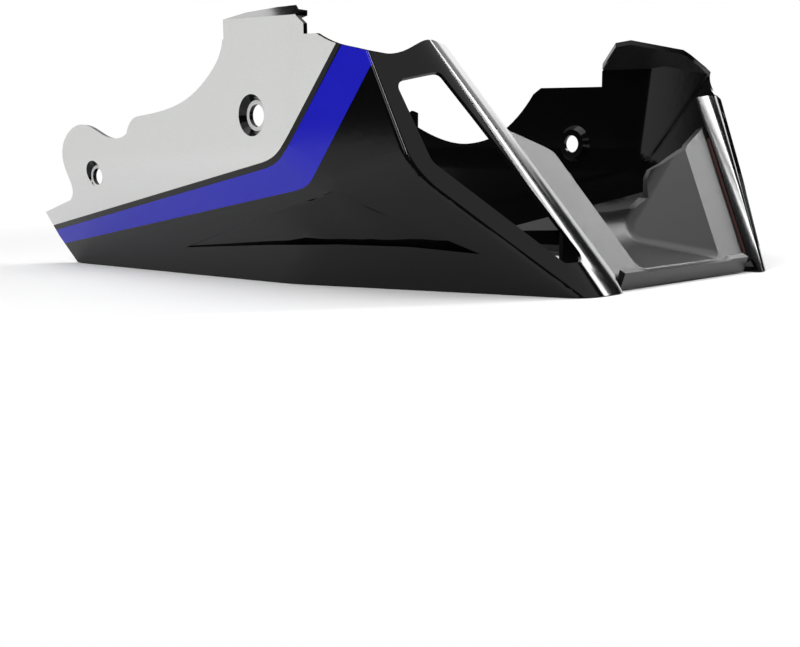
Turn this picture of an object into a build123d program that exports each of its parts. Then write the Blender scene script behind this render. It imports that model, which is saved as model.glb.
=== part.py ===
from build123d import *
import os
from math import atan2, degrees

# Motorcycle belly pan: two painted side shells and a textured centre panel, bonded along the front frames.
# Millimetres. +Z up, the front faces -Y, the rider's left is +X. Stands on its keels at Z = 0.

os.makedirs("parts", exist_ok=True)

# Driving dimensions
WALL = 3.0                # moulded wall of every shell
TAPE = 1.5                # bonding tape between frame and centre panel
LAP = 7.0                 # width of the bonded lap behind the frame's inner bar
FRONT_ANGLE_N = (0.0, -0.837, 0.547)   # outward normal of the common front plane
FRONT_Y0 = -251.3         # where that plane meets the ground on the centre line; the nose is drawn from it
FRONT_HOLE = 14.0         # bore of the front mounting hole
REAR_HOLE = 12.0          # bore of the rear mounting hole
SEAT_DIA = 19.0           # flat seat round the front mounting hole
RECESS_DEEP = 6.0         # depth of the sunk triangle at the front end of its slot
DISH_DEPTH = 4.5          # how far the seat lies under the painted face
SEAM_FOOT = (74.7, 11.4)  # front seam in the front plane: foot (across, up)
SEAM_RUN = 0.3336         # sideways run of the seam per millimetre up
FLOOR_IN = 108.0          # inner edge of the turned-in bottom flange
TAIL_DROP = 8.0           # fall of the keel to the tail as drawn; the pan is set down on it at the end
KEEL_RUN = 352.0          # over this length, from
KEEL_FRONT = FRONT_Y0 + 107.3   # the front end of the keel
RETURN_WIDE = 11.0        # strip along the seam that turns back towards the centre panel
RETURN_DEEP = 1.8         # how far the seam edge lies behind the front plane

# Each side is drawn outboard-positive; the right one is mirrored when it is done.
# up, low, top: three points of the upper face, lower face and top flange.
# c1, cb, cbot: top, bend and foot of the crease between side and front frame.
# keel: a point of the front keel. recess_edge: where the sunk triangle runs out on the lower face.
RIGHT = dict(
    c1=(177, FRONT_Y0 + 112.3, 139), cb=(172, FRONT_Y0 + 80.3, 70), cbot=(123, FRONT_Y0 + 18.3, 12),
    keel=(137, KEEL_FRONT, 0),
    up=[(182, -80, 85), (181, -20, 160), (175, 118, 87)],
    low=[(182.5, -70, 82), (176, 160, 77), (157, 0, 0)],
    tops=[[(181, -20, 162), (181, -86, 162), (150, -45, 171)]],
    opening=[(167.9, FRONT_Y0 + 98.4, 122.4), (145.7, FRONT_Y0 + 83.6, 127.9), (98.6, FRONT_Y0 + 13.4, 20.5),
             (115.3, FRONT_Y0 + 16, 21.0), (161.7, FRONT_Y0 + 75.2, 77.3)],
    recess=[(FRONT_Y0 + 140.3, 59), (FRONT_Y0 + 57.3, 25), (FRONT_Y0 + 101.3, 27), (-100, 26),
            (-40, 22), (55, 14)],
    recess_edge=(12, 31.3),
    hole_front=(-42, 103), hole_rear=(146, 60),
    flange=[(200, -16), (200, -92), (176, -92), (166, -70), (150, -50), (152, -34), (162, -16)],
    flange_from=150.0,
)
LEFT = dict(
    c1=(174, FRONT_Y0 + 94.3, 120), cb=(168, FRONT_Y0 + 68.3, 58), cbot=(111, FRONT_Y0 + 18.3, 7),
    keel=(140, KEEL_FRONT - 11, 0),
    up=[(187, -60, 100), (187, 20, 128), (187, 118, 80)],
    low=[(187, -59, 69), (187, 150, 67), (162, 0, 0)],
    tops=[[(187, -106, 143), (187, -46, 143), (146, -96, 161)],
          [(187, -106, 143), (137, -146, 152), (146, -96, 161)]],
    opening=[(160.0, FRONT_Y0 + 79, 99.1), (137.3, FRONT_Y0 + 70.7, 108.1), (94.4, FRONT_Y0 + 11.9, 18.2),
             (108.0, FRONT_Y0 + 20, 16.0), (154.4, FRONT_Y0 + 62.3, 62.0)],
    recess=[(FRONT_Y0 + 129.3, 51), (FRONT_Y0 + 58.3, 20), (FRONT_Y0 + 101.3, 20), (-100, 19),
            (-40, 17), (30, 12)],
    recess_edge=(-7, 22.6),
    hole_front=(-17, 82), hole_rear=(146, 39.5),
    flange=[(210, -30), (210, -156), (172, -156), (137, -148), (146, -96), (149, -80), (182, -44)],
    flange_from=128.0,
)
# Side outlines in (Y, Z): runs of points, each joined smoothly or straight
RIGHT_OUTLINE = [
    ("line", [(FRONT_Y0 - 70, -15), (206, -15), (206, -8)]),
    ("line", [(206, -8), (222, 12), (232, 30)]),
    ("line", [(232, 30), (190, 41)]),
    ("spline", [(190, 41), (182, 54), (186, 69), (186, 80), (177, 91), (156, 97)]),
    ("spline", [(156, 97), (144, 95), (126, 89), (108, 88), (99, 91)]),
    ("spline", [(99, 91), (92, 100), (83, 103)]),
    ("spline", [(83, 103), (57, 106), (23, 115), (0, 129), (-12, 142), (-15, 156)]),
    ("line", [(-15, 156), (-18, 190), (-86, 190), (-86, 161)]),
    ("spline", [(-86, 161), (-95, 154), (-116, 144), (FRONT_Y0 + 112.3, 139), (FRONT_Y0 + 101.3, 137.8),
                (FRONT_Y0 + 96.9, 141.2), (FRONT_Y0 + 96.2, 149.9)]),
    ("line", [(FRONT_Y0 + 96.2, 149.9), (FRONT_Y0 + 96.5, 153.3), (FRONT_Y0 + 92.7, 141.9),
              (FRONT_Y0 - 70, 141.9), (FRONT_Y0 - 70, -15)]),
]
LEFT_OUTLINE = [
    ("line", [(FRONT_Y0 - 70, -15), (-4, -15), (-4, -3.2)]),
    ("spline", [(-4, -3.2), (4, 1), (14, 7)]),
    ("line", [(14, 7), (127, 10), (133, 14), (157, 30), (175, 43)]),
    ("spline", [(175, 43), (181, 63), (184, 87)]),
    ("line", [(184, 87), (196, 93), (169, 110), (163, 108), (163, 95)]),
    ("spline", [(163, 95), (139, 86), (114, 81), (90, 82), (64, 90), (44, 104), (27, 123)]),
    ("line", [(27, 123), (19, 128), (-16, 128), (-33, 131), (-46, 143), (-46, 190), (-152, 190),
              (-149, 140)]),
    ("spline", [(-149, 140), (-147, 132), (FRONT_Y0 + 98.3, 121), (FRONT_Y0 + 89.3, 115),
                (FRONT_Y0 + 83.3, 113.4), (FRONT_Y0 + 79.4, 116.4)]),
    ("line", [(FRONT_Y0 + 79.4, 116.4), (FRONT_Y0 + 73.7, 121.9), (FRONT_Y0 - 70, 121.9),
              (FRONT_Y0 - 70, -15)]),
]

# Centre panel
POCKET_WALL = [(78, FRONT_Y0 + 54.3, 83), (51.6, FRONT_Y0 + 10.3, 15), (55, FRONT_Y0 + 66.3, 72)]
POCKET_BACK = FRONT_Y0 + 67.3
POCKET_FLOOR = [(0, FRONT_Y0 + 5.3, 11), (50, FRONT_Y0 + 5.3, 11), (0, FRONT_Y0 + 65.3, 24)]
SKIRT_HALF = 50.0         # half width of the skirt under the pocket's back wall
SKIRT_FOOT = 6.5          # its lower edge, clear of the bottom flanges
SKIRT_TALL = 44.0         # up to where the back wall is straight
POCKET_RADII = dict(floor=24.0, back=14.0)
CENTRE_TOP = [(-112, 97), (-78, 84.5), (-55, 72), (-44, 68), (-40, 63), (-36, 50), (-24, 43.5), (0, 42),
              (24, 43.5), (36, 50), (40, 63), (44, 68), (55, 72), (78, 84.5), (112, 97)]

FRONT = Plane(origin=(0, FRONT_Y0, 0), x_dir=(1, 0, 0), z_dir=FRONT_ANGLE_N)


def facing(points, outward):
    a, b, c = (Vector(*p) for p in points)
    n = (b - a).cross(c - a).normalized()
    if n.dot(Vector(*outward)) < 0:
        n = n * -1
    return (a, n)


def keep_inside(solid, plane, inset):
    p, n = plane
    cut = split(solid, bisect_by=Plane(origin=p - n * inset, z_dir=n), keep=Keep.BOTTOM)
    return cut.solid()


def edges_between(solid, pa, pb, inset):
    found = []
    for e in solid.edges():
        pts = [e @ 0.25, e @ 0.75]
        near = [abs((q - (p - n * inset)).dot(n)) for q in pts for p, n in (pa, pb)]
        if max(near) < 0.02:
            found.append(e)
    return found


def soften(solid, edges, radius):
    return solid.fillet(radius, edges) if edges else solid


def side_planes(s):
    planes = dict(
        up=facing(s["up"], (1, 0, 0)),
        fore=facing([s["c1"], s["cb"], (s["up"][0][0] - 0.5, -87, 120)], (1, 0, 0)),
        low=facing(s["low"], (1, 0, 0)),
        keel=facing([s["cb"], s["cbot"], s["keel"]], (1, 0, 0)),
        frame=facing([s["c1"], s["cb"], s["cbot"]], (0, -1, 0)),
        front=(Vector(0, FRONT_Y0, 0), Vector(*FRONT_ANGLE_N).normalized()),
        ground=facing([(0, KEEL_FRONT, 0), (100, KEEL_FRONT, 0), (0, KEEL_FRONT + KEEL_RUN, -TAIL_DROP)],
                      (0, 0, -1)),
    )
    for i, t in enumerate(s["tops"]):
        planes["top%d" % i] = facing(t, (0, 0, 1))
    return planes


def return_plane():
    edge = in_front([(seam_u(0), 0), (seam_u(100), 100)], -RETURN_DEEP)
    fold = in_front([(seam_u(0) + RETURN_WIDE, 0)], 0)
    return facing([edge[0], edge[1], fold[0]], (0, -1, 0))


def surface_x(body, y, z):
    hits = body.find_intersection_points(Axis((300, y, z), (-1, 0, 0)))
    return max(p.X for p, _ in hits)


def face_x(planes, y, z):
    xs = []
    for k in ("up", "fore", "low", "keel"):
        p, n = planes[k]
        xs.append(p.X - (n.Y * (y - p.Y) + n.Z * (z - p.Z)) / n.X)
    return min(xs)


def yz_face(runs, x):
    edges = []
    for kind, pts in runs:
        v = [Vector(x, y, z) for y, z in pts]
        if kind == "spline":
            edges.append(Edge.make_spline(v))
        else:
            edges.extend(Edge.make_line(a, b) for a, b in zip(v[:-1], v[1:]))
    return Face(Wire(edges))


def prism(face, direction):
    return Solid.extrude(face, Vector(*direction))


def polygon(points):
    return Face(Wire.make_polygon([Vector(*p) for p in points], close=True))


def side_form(s, inset):
    planes = side_planes(s)
    x0 = 30 if inset == 0 else -40
    body = Solid.make_box(240 - x0, 700, 340, Plane((x0, FRONT_Y0 - 79, -40)))
    for plane in planes.values():
        body = keep_inside(body, plane, inset)
    if inset == 0:
        body = keep_inside(body, return_plane(), 0)
    r = lambda v: max(v - inset, 0.6)
    for a, b, radius in (("up", "low", 60), ("fore", "up", 60), ("low", "keel", 60), ("fore", "keel", 40),
                         ("frame", "front", 25)):
        body = soften(body, edges_between(body, planes[a], planes[b], inset), r(radius))
    for a, b, radius in (("fore", "frame", 5), ("keel", "frame", 5)):
        body = soften(body, edges_between(body, planes[a], planes[b], inset), r(radius))
    body = recess(body, s, planes, inset)
    for (y, z), bore, deep in ((s["hole_front"], FRONT_HOLE, DISH_DEPTH), (s["hole_rear"], REAR_HOLE, 2.2)):
        seat = face_x(planes, y, z) - deep - inset
        rim = SEAT_DIA / 2 * bore / FRONT_HOLE + inset * 0.75
        dish = Solid.make_cone(rim, rim + 12 * 0.75, 12, Plane((seat, y, z), z_dir=(1, 0, 0)))
        body = (body - dish).solid()
    return body, planes


def recess(body, s, planes, inset):
    pts = s["recess"]
    sunk = ((pts[0], 0.2), (pts[1], RECESS_DEEP), (s["recess_edge"], 0.0))
    on = [Vector(surface_x(body, *p) - deep, *p) for p, deep in sunk]
    n = (on[1] - on[0]).cross(on[2] - on[0]).normalized()
    if n.X < 0:
        n = n * -1
    flat = polygon([(100, y, z) for y, z in pts])
    if inset:
        flat = offset(flat, amount=inset, kind=Kind.INTERSECTION).face()
    wedge = prism(flat, (140, 0, 0))
    wedge = split(wedge, bisect_by=Plane(origin=on[0], z_dir=n), keep=Keep.TOP).solid()
    return (body - wedge).solid()


def seam_u(v):
    return SEAM_FOOT[0] + (v - SEAM_FOOT[1]) * SEAM_RUN


def in_front(points, w):
    return [FRONT.from_local_coords(Vector(u, v, w)) for u, v in points]


def front_prism(points, w0, w1):
    face = Face(Wire.make_polygon(in_front(points, w0), close=True))
    return Solid.extrude(face, FRONT.z_dir * (w1 - w0))


def frame_opening(s, planes):
    pts = [Vector(*p) for p in s["opening"]]
    n = (planes["frame"][1] + planes["front"][1]).normalized()
    mid = sum(pts, Vector(0, 0, 0)) * (1 / len(pts))
    pl = Plane(origin=mid, z_dir=n)
    flat = [pl.to_local_coords(p) for p in pts]
    face = Face(Wire.make_polygon([(p.X, p.Y, 0) for p in flat], close=True))
    corner = sorted(face.vertices(), key=lambda q: (q.X - flat[4].X) ** 2 + (q.Y - flat[4].Y) ** 2)
    face = face.fillet_2d(14, corner[:1])
    rest = [q for q in face.vertices() if min((q.X - f.X) ** 2 + (q.Y - f.Y) ** 2 for f in flat[:4]) < 0.01]
    face = face.fillet_2d(5, rest)
    return Solid.extrude(pl * face.moved(Location((0, 0, -16))), n * 60)


def side_shell(s, outline):
    outer, planes = side_form(s, 0.0)
    inner, _ = side_form(s, WALL)
    shell = outer - inner
    shell = shell & prism(yz_face(outline, -50), (300, 0, 0))
    shell = shell - frame_opening(s, planes)
    shell = shell - front_prism([(seam_u(-40), -40), (seam_u(260), 260), (-60, 260), (-60, -40)], -40, 30)
    middle = [(-50, FRONT_Y0 - 49), (78, FRONT_Y0 - 49), (78, FRONT_Y0 + 23.3), (64, FRONT_Y0 + 29.3),
              (64, FRONT_Y0 + 101.3), (FLOOR_IN, -60), (FLOOR_IN, 300), (-50, 300)]
    shell = shell - prism(polygon([(x, y, -14) for x, y in middle]), (0, 0, 24))
    roof = Solid.make_box(300, 300, 140, Plane((-50, FRONT_Y0 + 88.3, s["flange_from"])))
    keep = prism(polygon([(x, y, s["flange_from"]) for x, y in s["flange"]]), (0, 0, 140))
    shell = shell - (roof - keep)
    for (y, z), bore in ((s["hole_front"], FRONT_HOLE), (s["hole_rear"], REAR_HOLE)):
        shell = shell - Solid.make_cylinder(bore / 2, 120, Plane((120, y, z), z_dir=(1, 0, 0)))
    solids = sorted(shell.solids(), key=lambda q: -q.volume)
    print([round(q.volume) for q in solids])
    return solids[0]


def pocket(grow):
    wall = facing(POCKET_WALL, (1, 0, 0))
    body = Solid.make_box(240, 120 + grow, 200, Plane((-120, POCKET_BACK - 120, -20)))
    p, n = wall
    body = keep_inside(body, (p, n), -grow)
    other = (Vector(-p.X, p.Y, p.Z), Vector(-n.X, n.Y, n.Z))
    body = keep_inside(body, other, -grow)
    floor = facing(POCKET_FLOOR, (0, 0, -1))
    body = keep_inside(body, floor, -grow)
    back = (Vector(0, POCKET_BACK, 0), Vector(0, 1, 0))
    round_off = POCKET_RADII
    body = soften(body, edges_between(body, floor, back, -grow), round_off["floor"] + grow)
    for w in (wall, other):
        body = soften(body, edges_between(body, w, back, -grow), round_off["back"] + grow)
    return body


def centre_panel():
    face_w = -WALL - TAPE
    lo, hi = 14.0, 118.0
    plate = front_prism([(-seam_u(lo) - LAP, lo), (seam_u(lo) + LAP, lo), (seam_u(hi) + LAP, hi),
                         (-seam_u(hi) - LAP, hi)], face_w - WALL, face_w)
    skin = pocket(WALL)
    p0 = Vector(0, FRONT_Y0, 0) + FRONT.z_dir * face_w
    skin = split(skin, bisect_by=Plane(origin=p0, z_dir=FRONT.z_dir), keep=Keep.BOTTOM).solid()
    lip = prism(polygon([(-70, FRONT_Y0 + 6.8, 12.5), (-70, FRONT_Y0 + 10.3, 2.5),
                         (-70, FRONT_Y0 + 13.5, 2.5),
                         (-70, FRONT_Y0 + 10.8, 14.5)]), (140, 0, 0))
    skirt = Solid.make_box(2 * SKIRT_HALF, WALL, SKIRT_TALL, Plane((-SKIRT_HALF, POCKET_BACK, SKIRT_FOOT)))
    panel = plate + skin + lip + skirt
    panel = panel - pocket(0.0)
    rim = CENTRE_TOP + [(130, 97), (130, -20), (-130, -20), (-130, 97)]
    top = polygon([(x, FRONT_Y0 - 79, z) for x, z in rim])
    panel = panel & prism(top, (0, 330, 0))
    panel = panel & Solid.make_box(300, 400, 200, Plane((-150, FRONT_Y0 - 79, 2.5)))
    solids = sorted(panel.solids(), key=lambda q: -q.volume)
    print([round(q.volume) for q in solids])
    return solids[0]


def bond_strip(side):
    lo, hi = 18.0, 108.0
    w0, w1 = -WALL - TAPE, -WALL
    wide = LAP - 1.5
    return front_prism([(side * seam_u(lo), lo), (side * (seam_u(lo) + wide), lo),
                        (side * (seam_u(hi) + wide), hi),
                        (side * seam_u(hi), hi)], w0, w1)


left = side_shell(LEFT, LEFT_OUTLINE)
right = side_shell(RIGHT, RIGHT_OUTLINE).mirror(Plane.YZ)
pieces = {
    "right_side_panel": right,
    "left_side_panel": left,
    "centre_panel": centre_panel(),
    "right_bond_strip": bond_strip(-1),
    "left_bond_strip": bond_strip(1),
}

# The pan is set down on its keel, and the row's origin is under its middle.
level = degrees(atan2(TAIL_DROP, KEEL_RUN))
pieces = {name: piece.rotate(Axis.X, level) for name, piece in pieces.items()}
boxes = [p.bounding_box() for p in pieces.values()]
mid_x = (min(b.min.X for b in boxes) + max(b.max.X for b in boxes)) / 2
mid_y = (min(b.min.Y for b in boxes) + max(b.max.Y for b in boxes)) / 2
low_z = min(b.min.Z for b in boxes)
for name, piece in pieces.items():
    placed = piece.moved(Location((-mid_x, -mid_y, -low_z)))
    export_step(placed, "parts/" + name + ".step")
    print(name, "valid", placed.is_valid, "volume", round(placed.volume))
print("turned by", round(level, 4), "moved by", round(-mid_x, 3), round(-mid_y, 3), round(-low_z, 3))
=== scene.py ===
# %% [markdown]
# # A motorcycle belly pan
#
# A belly pan is the fairing that hangs under a motorcycle engine. This one is two painted plastic side
# panels and a textured centre panel that joins them at the front. The side panels are moulded in black
# plastic and painted outside in silver and blue.
# The shapes come from the solid model. This lesson gives them their finishes, light and camera.

# %% Tools
import math

import bmesh
import bpy
import numpy as np
from mathutils import Matrix, Quaternion, Vector
from mathutils.bvhtree import BVHTree
from mathutils.geometry import delaunay_2d_cdt


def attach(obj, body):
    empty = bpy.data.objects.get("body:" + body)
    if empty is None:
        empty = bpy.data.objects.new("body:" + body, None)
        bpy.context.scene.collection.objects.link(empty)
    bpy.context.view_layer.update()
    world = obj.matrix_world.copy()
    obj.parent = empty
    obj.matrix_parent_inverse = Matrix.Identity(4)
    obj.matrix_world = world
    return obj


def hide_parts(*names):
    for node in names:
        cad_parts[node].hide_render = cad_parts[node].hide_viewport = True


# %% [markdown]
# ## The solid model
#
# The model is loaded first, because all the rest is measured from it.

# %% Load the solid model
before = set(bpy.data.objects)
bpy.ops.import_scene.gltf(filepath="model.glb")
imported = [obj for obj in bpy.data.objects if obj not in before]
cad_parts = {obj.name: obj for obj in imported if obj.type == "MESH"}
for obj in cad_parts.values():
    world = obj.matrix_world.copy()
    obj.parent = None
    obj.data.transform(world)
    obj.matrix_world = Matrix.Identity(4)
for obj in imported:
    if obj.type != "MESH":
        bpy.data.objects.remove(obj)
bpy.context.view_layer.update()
print("solids:", sorted(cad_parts))

# %% [markdown]
# ## Colours and nodes
#
# Paint colours are written as the sRGB hex values that a paint shop or a picture editor shows. Blender
# works in linear light, so one function converts them. A second one adds a node, with its settings and
# whatever is linked into it, so that a material below reads as a list of steps.


# %% Colour and node helpers
def colour(hex_code):
    parts = [int(hex_code[i:i + 2], 16) / 255 for i in (1, 3, 5)]
    linear = [p / 12.92 if p <= 0.04045 else ((p + 0.055) / 1.055) ** 2.4 for p in parts]
    return (*linear, 1.0)


def add(tree, kind, links=None, **settings):
    node = tree.nodes.new(kind)
    for name, value in settings.items():
        setattr(node, name, value)
    for name, value in (links or {}).items():
        if isinstance(value, bpy.types.NodeSocket):
            tree.links.new(value, node.inputs[name])
        else:
            node.inputs[name].default_value = value
    return node


def empty_material(name):
    material = bpy.data.materials.new(name)
    material.use_nodes = True
    material.node_tree.nodes.clear()
    return material, material.node_tree


print("silver #bdbebe in linear light:", [round(c, 3) for c in colour("#bdbebe")[:3]])

# %% [markdown]
# ## The sunk triangle
#
# Low on each side panel a triangle is pressed in. It starts flush at its upper edge and ends in a narrow
# slot at its lower front corner. In the solid model it is one flat cut, which goes too deep in the middle
# because the panel bulges there. On the real panel it follows the bulge. So the flat face is taken out of the
# skin, and a patch is put in its place: a fine mesh over the same triangle, laid on a thin plate surface
# through the rim round it, and sunk a little more the further a point lies below the upper edge.

# %% Sizes of the patch
PATCH_STEP = 0.0003
PATCH_SLOPE = 0.11
PATCH_GRID = 0.006
print("patches sink by", PATCH_SLOPE, "mm per mm below their upper edge")


# %% Lay a patch on the bulge
def thin_plate(points):
    flat = np.array([(p.y, p.z) for p in points])
    apart = np.linalg.norm(flat[:, None] - flat[None], axis=2)
    size = len(flat)
    system = np.zeros((size + 3, size + 3))
    system[:size, :size] = apart ** 2 * np.log(apart + 1e-9) + np.eye(size) * 1e-6
    system[:size, size] = 1
    system[:size, size + 1:] = flat
    system[size:, :size] = system[:size, size:].T
    weights = np.linalg.solve(system, np.append([p.x for p in points], [0, 0, 0]))

    def height(y, z):
        gap = np.hypot(flat[:, 0] - y, flat[:, 1] - z)
        return float(weights[:size] @ (gap ** 2 * np.log(gap + 1e-9)) + weights[size:] @ (1, y, z))
    return height


def sink_triangle(shape, outboard, inside, edge):
    shape.faces.ensure_lookup_table()
    far_out = Vector((outboard * 0.3, *inside))
    hit = BVHTree.FromBMesh(shape).ray_cast(far_out, Vector((-outboard, 0, 0)))
    first = shape.faces[hit[2]]
    facet, seen = [first], {first}
    for face in facet:
        for near in {near for side in face.edges for near in side.link_faces} - seen:
            if near.normal.angle(first.normal) < math.radians(1):
                seen.add(near)
                facet.append(near)
    corners = {v for face in facet for v in face.verts}
    rim = {v for c in corners for face in c.link_faces if face not in seen for v in face.verts} - corners
    height = thin_plate([v.co for v in rim])
    start, end = Vector(edge[0]), Vector(edge[1])
    down = Vector((end.y - start.y, start.x - end.x)).normalized()

    def sunk(y, z):
        deep = max(0.0, (Vector((y, z)) - start).dot(down))
        return height(y, z) - outboard * (PATCH_STEP + PATCH_SLOPE * deep)

    sides = {e for face in facet for e in face.edges}
    border = [e for e in sides if any(f not in seen for f in e.link_faces)]
    around = list({v for e in border for v in e.verts})
    flat = [Vector((v.co.y, v.co.z)) for v in around]
    low = [min(q[i] for q in flat) for i in (0, 1)]
    high = [max(q[i] for q in flat) for i in (0, 1)]
    steps = [int((high[i] - low[i]) / PATCH_GRID) for i in (0, 1)]
    grid = [Vector((low[0] + i * PATCH_GRID, low[1] + j * PATCH_GRID))
            for i in range(1, steps[0]) for j in range(1, steps[1])]
    clear = [q for q in grid if min((q - c).length for c in flat) > PATCH_GRID * 0.5]
    loops = [(around.index(e.verts[0]), around.index(e.verts[1])) for e in border]
    spots, _, faces, origins, _, _ = delaunay_2d_cdt(flat + clear, loops, [], 1, 1e-7)
    bmesh.ops.delete(shape, geom=facet, context="FACES_KEEP_BOUNDARY")
    made = []
    for spot, came_from in zip(spots, origins):
        known = [i for i in came_from if i < len(around)]
        vert = around[known[0]] if known else shape.verts.new((0, spot[0], spot[1]))
        vert.co.x = sunk(vert.co.y, vert.co.z)
        made.append(vert)
    for corner in faces:
        face = shape.faces.new([made[i] for i in corner])
        face.normal_update()
        if face.normal.x * outboard < 0:
            face.normal_flip()
    return len(faces)


# %% [markdown]
# ## Smooth skins
#
# The solid model arrives as loose triangles, which would show as flat facets in gloss paint. A copy of each
# panel has its corners merged and its flat triangles joined. Faces then share their normals wherever they
# meet at a shallow angle, and stay sharp at the moulded edges. Weighted normals keep the large faces
# flat right up to the small fillets, as on a moulding. The copy stands for the solid in the picture.
#
# The crease between the side face and the front frame is slightly rounded on a moulding, and catches the light
# as a thin line. A Bevel modifier rounds it, on the edges that are marked for it.

# %% Front crease
CREASE_ROUNDING = 0.0014
CREASE_TURN = math.radians(18)
CREASE_BEHIND = -0.08
print("creases rounded by", CREASE_ROUNDING * 1000, "mm")


def mark_front_crease(shape, outboard):
    weight = shape.edges.layers.float.new("bevel_weight_edge")
    total = 0.0
    for edge in shape.edges:
        middle = (edge.verts[0].co + edge.verts[1].co) / 2
        looks = [face.normal for face in edge.link_faces]
        turn = edge.calc_face_angle_signed(0)
        if turn > CREASE_TURN and middle.y < CREASE_BEHIND and min(n.x * outboard for n in looks) > 0.25:
            edge[weight] = 1.0
            total += edge.calc_length() * 1000
    return round(total)


# %% Skins of the three panels
SHARP_FROM = math.radians(28)
FLAT_UP_TO = math.radians(0.3)


def skin_of(node_name, piece_name, sunk=None):
    shape = bmesh.new()
    shape.from_mesh(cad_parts[node_name].data)
    bmesh.ops.remove_doubles(shape, verts=shape.verts, dist=2e-6)
    if sunk:
        print("patch of", sink_triangle(shape, *sunk), "triangles")
    bmesh.ops.dissolve_limit(shape, angle_limit=FLAT_UP_TO, verts=shape.verts, edges=shape.edges)
    for face in shape.faces:
        face.smooth = True
    for edge in shape.edges:
        edge.smooth = len(edge.link_faces) == 2 and edge.calc_face_angle(9) < SHARP_FROM
    if sunk:
        print("front crease of", mark_front_crease(shape, sunk[0]), "mm")
    mesh = bpy.data.meshes.new(piece_name)
    shape.to_mesh(mesh)
    shape.free()
    piece = bpy.data.objects.new(piece_name, mesh)
    bpy.context.scene.collection.objects.link(piece)
    if sunk:
        rounding = piece.modifiers.new("front crease", "BEVEL")
        rounding.limit_method = "WEIGHT"
        rounding.width = CREASE_ROUNDING
        rounding.segments = 3
    weigh = piece.modifiers.new("weighted normals", "WEIGHTED_NORMAL")
    weigh.keep_sharp = True
    weigh.weight = 80
    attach(piece, "root")
    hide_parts(node_name)
    print(piece_name, len(mesh.polygons), "faces")
    return piece


RIGHT_SUNK = (-1, (-0.105, 0.036), ((-0.1020, 0.0602), (0.0212, 0.0348)))
LEFT_SUNK = (1, (-0.110, 0.030), ((-0.1125, 0.0512), (0.0021, 0.0257)))
right_skin = skin_of("right_side_panel", "right_painted_panel", RIGHT_SUNK)
left_skin = skin_of("left_side_panel", "left_painted_panel", LEFT_SUNK)
centre_skin = skin_of("centre_panel", "centre_textured_panel")

# %% [markdown]
# ## Painted side panels
#
# On the real pan a painter masks each side panel: silver behind, a blue stripe like a bent arm, and gloss
# black in front and below, with a thin black line left between silver and blue. Each edge of that masking is
# two straight lines with a rounded elbow. A picture could be stretched over the panel, but the lines are few,
# so the material works them out: for each line it takes the distance of a point from it, seen from
# the side, and the smaller of the two distances, smoothly joined, tells on which side of the elbow it is.
#
# Only faces that look outboard are painted. The front frame, the flanges, the cut edges and the inside keep
# the black of the moulding.

# %% Masking lines, in millimetres along the pan and up
RIGHT_LINES = {
    "silver edge": (((-109.8, 143.2), (-63.3, 84.5)), ((-7.1, 70.3), (192.2, 35.7)), 16),
    "stripe edge": (((-131.1, 124.3), (-94.3, 75.5)), ((2.3, 48.6), (222.0, 15.0)), 14),
}
LEFT_LINES = {
    "silver edge": (((-124.5, 119.5), (-80.6, 70.8)), ((-9.7, 53.6), (126.0, 22.5)), 14),
    "stripe edge": (((-149.0, 105.4), (-105.4, 59.0)), ((-31.1, 41.0), (91.9, 17.3)), 14),
}
BLACK_LINE = 4.0
print("black line of", BLACK_LINE, "mm between silver and blue")


# %% Distance from a masking line with an elbow
def elbow_distance(tree, place, lines):
    upper, lower, rounding = lines
    sides = []
    for start, end in (upper, lower):
        along = Vector(end) - Vector(start)
        across = Vector((-along.y, along.x)).normalized()
        if across.y < 0:
            across = -across
        dot = add(tree, "ShaderNodeVectorMath", {0: place, 1: (0.0, across.x * 1000, across.y * 1000)},
                  operation="DOT_PRODUCT")
        offset = across.dot(Vector(start))
        sides.append(add(tree, "ShaderNodeMath", {0: dot.outputs["Value"], 1: offset}, operation="SUBTRACT"))
    return add(tree, "ShaderNodeMath", {0: sides[0].outputs[0], 1: sides[1].outputs[0], 2: float(rounding)},
               operation="SMOOTH_MIN").outputs[0]


# %% [markdown]
# The silver is an aluminium flake paint: a pale, slightly metallic coat whose flakes glint a little differently
# from each other. The blue is a solid ultramarine enamel, and the black is the gloss of the moulding itself.
# Flakes are far too fine to show at this distance, so they are drawn about 0.6 mm across. A very gentle
# waviness some 6 mm long stands for the orange peel that sprayed lacquer always has. At the black line the paint
# steps down by half a millimetre, because the moulding has a shallow joggle there that guides the masking tape.


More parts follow.
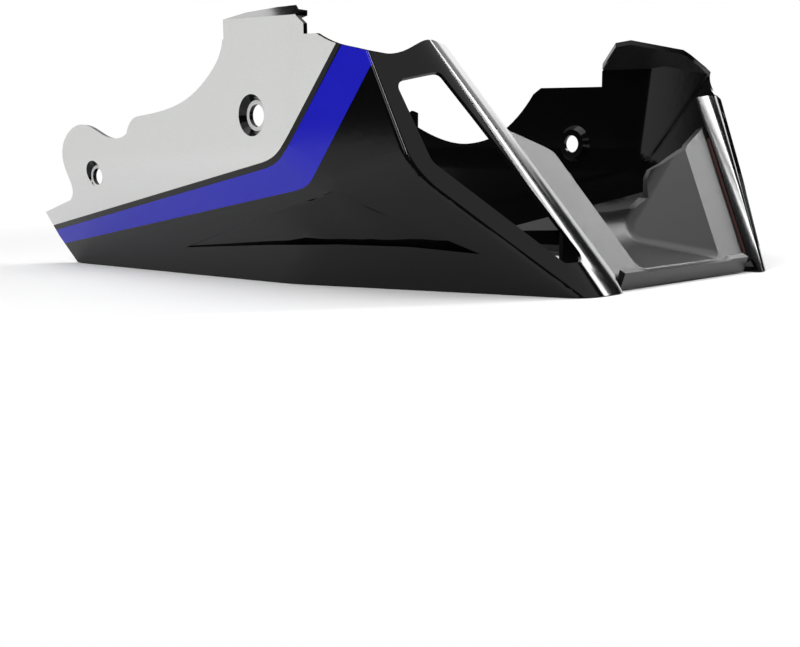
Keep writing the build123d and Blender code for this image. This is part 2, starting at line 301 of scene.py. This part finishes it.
# %% Aluminium flake silver, ultramarine stripe and gloss black
def side_paint(name, lines, outboard):
    material, tree = empty_material(name)
    place = add(tree, "ShaderNodeTexCoord").outputs["Object"]
    look = add(tree, "ShaderNodeNewGeometry").outputs["True Normal"]
    facing = add(tree, "ShaderNodeVectorMath", {0: look, 1: (outboard, 0.0, 0.0)}, operation="DOT_PRODUCT")
    outside = add(tree, "ShaderNodeMath", {0: facing.outputs["Value"], 1: 0.80},
                  operation="GREATER_THAN").outputs[0]
    edge = {key: elbow_distance(tree, place, value) for key, value in lines.items()}
    in_silver = add(tree, "ShaderNodeMath", {0: edge["silver edge"], 1: 0.0},
                    operation="GREATER_THAN").outputs[0]
    past_line = add(tree, "ShaderNodeMath", {0: edge["silver edge"], 1: -BLACK_LINE},
                    operation="LESS_THAN").outputs[0]
    in_stripe = add(tree, "ShaderNodeMath", {0: edge["stripe edge"], 1: 0.0},
                    operation="GREATER_THAN").outputs[0]
    silver = add(tree, "ShaderNodeMath", {0: in_silver, 1: outside}, operation="MULTIPLY").outputs[0]
    stripe = add(tree, "ShaderNodeMath", {0: in_stripe, 1: past_line}, operation="MULTIPLY").outputs[0]
    blue = add(tree, "ShaderNodeMath", {0: stripe, 1: outside}, operation="MULTIPLY").outputs[0]

    flake = add(tree, "ShaderNodeTexVoronoi", {"Vector": place, "Scale": 1 / 0.0006}, feature="F1")
    silver_tone = add(tree, "ShaderNodeMix", {0: flake.outputs["Distance"], 6: colour("#d6d7d6"),
                                              7: colour("#cbccca")}, data_type="RGBA").outputs[2]
    haze = add(tree, "ShaderNodeTexNoise", {"Vector": place, "Scale": 1 / 0.05, "Detail": 2.0}).outputs["Fac"]
    blue_tone = add(tree, "ShaderNodeMix", {0: haze, 6: colour("#17179f"), 7: colour("#2020ac")},
                    data_type="RGBA").outputs[2]
    with_blue = add(tree, "ShaderNodeMix", {0: blue, 6: colour("#070708"), 7: blue_tone},
                    data_type="RGBA").outputs[2]
    tone = add(tree, "ShaderNodeMix", {0: silver, 6: with_blue, 7: silver_tone}, data_type="RGBA").outputs[2]
    metal = add(tree, "ShaderNodeMath", {0: silver, 1: 0.30}, operation="MULTIPLY").outputs[0]
    rough = add(tree, "ShaderNodeMapRange", {"Value": silver, "To Min": 0.10, "To Max": 0.40}).outputs[0]

    peel = add(tree, "ShaderNodeTexNoise", {"Vector": place, "Scale": 1 / 0.006, "Detail": 1.0}).outputs["Fac"]
    relief = add(tree, "ShaderNodeBump", {"Height": peel, "Strength": 0.03, "Distance": 0.0004})
    joggle = add(tree, "ShaderNodeMapRange", {"Value": edge["silver edge"], "From Min": -BLACK_LINE,
                                              "From Max": 0.5}, interpolation_type="SMOOTHSTEP").outputs[0]
    step = add(tree, "ShaderNodeBump", {"Height": joggle, "Strength": 0.6, "Distance": 0.0008,
                                        "Normal": relief.outputs["Normal"]})
    shade = add(tree, "ShaderNodeBsdfPrincipled", {
        "Base Color": tone, "Metallic": metal, "Roughness": rough, "IOR": 1.5, "Specular IOR Level": 0.26,
        "Normal": step.outputs["Normal"]})
    add(tree, "ShaderNodeOutputMaterial", {"Surface": shade.outputs["BSDF"]})
    print(name, "with", len(tree.nodes), "nodes")
    return material


right_skin.data.materials.append(side_paint("lacquered ABS right", RIGHT_LINES, -1.0))
left_skin.data.materials.append(side_paint("lacquered ABS left", LEFT_LINES, 1.0))

# %% [markdown]
# ## Textured centre panel
#
# The centre panel isn't painted. It is black ABS from a mould with a spark-eroded surface, which leaves a fine
# sandy grain and a soft sheen. Real grain is about 0.3 mm, too fine for this view, so it is drawn near 1 mm.


# %% Grained black ABS
def grained_abs(name):
    material, tree = empty_material(name)
    place = add(tree, "ShaderNodeTexCoord").outputs["Object"]
    grain = add(tree, "ShaderNodeTexNoise", {"Vector": place, "Scale": 1 / 0.001, "Detail": 3.0, "Roughness": 0.6})
    relief = add(tree, "ShaderNodeBump", {"Height": grain.outputs["Fac"], "Strength": 0.25, "Distance": 0.0003})
    worn = add(tree, "ShaderNodeTexNoise", {"Vector": place, "Scale": 1 / 0.04, "Detail": 3.0}).outputs["Fac"]
    tone = add(tree, "ShaderNodeMix", {0: worn, 6: colour("#0f0f10"), 7: colour("#19191a")}, data_type="RGBA")
    rough = add(tree, "ShaderNodeMapRange", {"Value": worn, "To Min": 0.27, "To Max": 0.35})
    shade = add(tree, "ShaderNodeBsdfPrincipled", {
        "Base Color": tone.outputs[2], "Roughness": rough.outputs[0], "IOR": 1.52,
        "Normal": relief.outputs["Normal"]})
    add(tree, "ShaderNodeOutputMaterial", {"Surface": shade.outputs["BSDF"]})
    print(name, "with", len(tree.nodes), "nodes")
    return material


centre_skin.data.materials.append(grained_abs("spark eroded black ABS"))

# %% [markdown]
# ## Bonding tape
#
# Strips of dark red acrylic foam tape bond the centre panel behind the frames. Only their edges show. The foam has
# small closed cells, which a fine cell pattern gives in tone and relief. The strips keep the solid model's mesh.


# %% Red acrylic foam
def acrylic_foam(name):
    material, tree = empty_material(name)
    place = add(tree, "ShaderNodeTexCoord").outputs["Object"]
    cells = add(tree, "ShaderNodeTexVoronoi", {"Vector": place, "Scale": 1 / 0.0008})
    tone = add(tree, "ShaderNodeMix", {0: cells.outputs["Distance"], 6: colour("#30100e"), 7: colour("#481815")},
               data_type="RGBA")
    relief = add(tree, "ShaderNodeBump", {"Height": cells.outputs["Distance"], "Strength": 0.3, "Distance": 0.0002})
    shade = add(tree, "ShaderNodeBsdfPrincipled", {
        "Base Color": tone.outputs[2], "Roughness": 0.6, "IOR": 1.48, "Normal": relief.outputs["Normal"]})
    add(tree, "ShaderNodeOutputMaterial", {"Surface": shade.outputs["BSDF"]})
    return material


tape = acrylic_foam("dark red acrylic foam tape")
for side in ("right", "left"):
    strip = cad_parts[side + "_bond_strip"]
    strip.data.materials.clear()
    strip.data.materials.append(tape)
print("tape on both bond strips")

# %% [markdown]
# ## Floor and background
#
# A catalogue picture stands the part on white. The floor near the pan is a plain pale surface that takes its
# shadow. Further out it fades into the same white as the background, so that no horizon shows.

# %% White floor
floor_mesh = bpy.data.meshes.new("studio_floor")
FLOOR_HALF, FLOOR_LOW = 9, -0.0006
floor_mesh.from_pydata([(x * FLOOR_HALF, y * FLOOR_HALF, FLOOR_LOW) for x, y in ((-1, -1), (1, -1), (1, 1), (-1, 1))],
                       [], [(0, 1, 2, 3)])
floor = bpy.data.objects.new("studio_floor", floor_mesh)
bpy.context.scene.collection.objects.link(floor)

floor_paint, tree = empty_material("white paper sweep")
place = add(tree, "ShaderNodeTexCoord").outputs["Object"]
away = add(tree, "ShaderNodeVectorMath", {0: place}, operation="LENGTH").outputs["Value"]
fade = add(tree, "ShaderNodeMapRange", {"Value": away, "From Min": 0.30, "From Max": 0.75},
           interpolation_type="SMOOTHSTEP").outputs[0]
ray = add(tree, "ShaderNodeLightPath")
seen = add(tree, "ShaderNodeMath", {0: ray.outputs["Is Camera Ray"], 1: ray.outputs["Is Glossy Ray"]},
           operation="MAXIMUM").outputs[0]
seen = add(tree, "ShaderNodeMath", {0: seen, 1: ray.outputs["Is Transmission Ray"]}, operation="MAXIMUM").outputs[0]
share = add(tree, "ShaderNodeMath", {0: fade, 1: seen}, operation="MULTIPLY").outputs[0]
paper = add(tree, "ShaderNodeBsdfDiffuse", {"Color": colour("#f4f4f4")})
glow = add(tree, "ShaderNodeEmission", {"Color": (1, 1, 1, 1), "Strength": 1.0})
both = add(tree, "ShaderNodeMixShader", {0: share, 1: paper.outputs[0], 2: glow.outputs[0]})
add(tree, "ShaderNodeOutputMaterial", {"Surface": both.outputs[0]})
floor.data.materials.append(floor_paint)
print("floor fades to white from 300 to 750 mm")

# %% White world
world = bpy.data.worlds.new("studio")
bpy.context.scene.world = world
world.use_nodes = True
tree = world.node_tree
tree.nodes.clear()
ray = add(tree, "ShaderNodeLightPath")
seen = add(tree, "ShaderNodeMath", {0: ray.outputs["Is Camera Ray"], 1: ray.outputs["Is Glossy Ray"]},
           operation="MAXIMUM").outputs[0]
seen = add(tree, "ShaderNodeMath", {0: seen, 1: ray.outputs["Is Transmission Ray"]}, operation="MAXIMUM").outputs[0]
room = add(tree, "ShaderNodeBackground", {"Color": (1, 1, 1, 1), "Strength": 0.42})
white = add(tree, "ShaderNodeBackground", {"Color": (1, 1, 1, 1), "Strength": 1.0})
both = add(tree, "ShaderNodeMixShader", {0: seen, 1: room.outputs[0], 2: white.outputs[0]})
add(tree, "ShaderNodeOutputWorld", {"Surface": both.outputs[0]})
print("world: pale room light, white where it is seen")

# %% [markdown]
# ## Light and black cards
#
# Gloss black paint shows its surroundings, so a photographer shapes it with what it reflects. Large soft lights
# give long bright bands, and black cards beside and in front of the set keep the tall faces dark. The cards
# are part of the studio, and the camera doesn't see them.


# %% Soft lights
def soft_light(name, place, aim, size, power, along=(0, 0, 1)):
    data = bpy.data.lights.new(name, "AREA")
    data.shape = "RECTANGLE"
    data.size, data.size_y = size
    data.energy = power
    lamp = bpy.data.objects.new(name, data)
    bpy.context.scene.collection.objects.link(lamp)
    back = (Vector(place) - Vector(aim)).normalized()
    across = Vector(along).cross(back).normalized()
    turn = Matrix((across, back.cross(across), back)).transposed()
    lamp.matrix_world = Matrix.Translation(place) @ turn.to_4x4()
    return lamp


soft_light("overhead_softbox", (0.0, -0.1, 1.5), (0, 0, 0.05), (1.5, 1.5), 9, (0, 1, 0))
for side, name in ((-1, "right"), (1, "left")):
    bar = (side * 0.1, -0.205, 0.057)
    along_bar = (side * 0.316, 0.519, 0.794)
    soft_light(name + "_bar_strip", (side * -1.018, -0.618, 0.795), bar, (0.07, 0.65), 4.6, along_bar)
    soft_light(name + "_return_strip", (side * -1.18, -0.23, 0.62), bar, (0.16, 0.65), 1.9, along_bar)
    soft_light(name + "_side_softbox", (side * 1.3, -0.1, 1.1), (side * 0.15, 0, 0.08), (0.8, 0.6), 3.8)
print("softboxes overhead and at the sides, two strips for each front bar")


# %% Black cards
def black_card(name, corners):
    mesh = bpy.data.meshes.new(name)
    mesh.from_pydata(corners, [], [(0, 1, 2, 3)])
    card = bpy.data.objects.new(name, mesh)
    bpy.context.scene.collection.objects.link(card)
    mesh.materials.append(card_paint)
    card.visible_camera = False
    card.visible_diffuse = False
    card.visible_shadow = False


card_paint, tree = empty_material("black card")
felt = add(tree, "ShaderNodeBsdfDiffuse", {"Color": colour("#0a0a0a")})
add(tree, "ShaderNodeOutputMaterial", {"Surface": felt.outputs[0]})
CARD_AWAY, CARD_FRONT, CARD_BACK, CARD_FOOT = 1.6, -2.4, 2.2, 0.02
for name, x in (("right_card", -CARD_AWAY), ("left_card", CARD_AWAY)):
    black_card(name, [(x, y, z) for y, z in ((CARD_FRONT, CARD_FOOT), (CARD_BACK, CARD_FOOT),
                                             (CARD_BACK, 1.6), (CARD_FRONT, 1.6))])
black_card("front_card", [(x, CARD_FRONT, z) for x, z in ((-CARD_AWAY, CARD_FOOT), (CARD_AWAY, CARD_FOOT),
                                                          (CARD_AWAY, 1.0), (-CARD_AWAY, 1.0))])
print("black cards on both sides and in front")

# %% [markdown]
# ## Camera
#
# The camera stands in front of the right side, a little above the pan, about a metre away, with a moderate tele
# lens. Its place was worked out from the corners of the pan, so the picture has the photograph's framing.

# %% Camera
EYE = (-0.7153, -0.6773, 0.0858)
LOOK_AT = (-0.0086, 0.0089, -0.0460)
ROLL = math.radians(-0.83)
lens = bpy.data.cameras.new("catalogue_camera")
lens.sensor_width = 36.0
lens.lens = 59.93
camera = bpy.data.objects.new("catalogue_camera", lens)
bpy.context.scene.collection.objects.link(camera)
camera.location = EYE
aim = (Vector(LOOK_AT) - Vector(EYE)).to_track_quat("-Z", "Y")
camera.rotation_euler = (aim @ Quaternion((0, 0, 1), ROLL)).to_euler()
bpy.context.scene.camera = camera
bpy.context.scene.view_settings.view_transform = "Standard"
print("camera", round((Vector(LOOK_AT) - Vector(EYE)).length, 3), "m from its target")
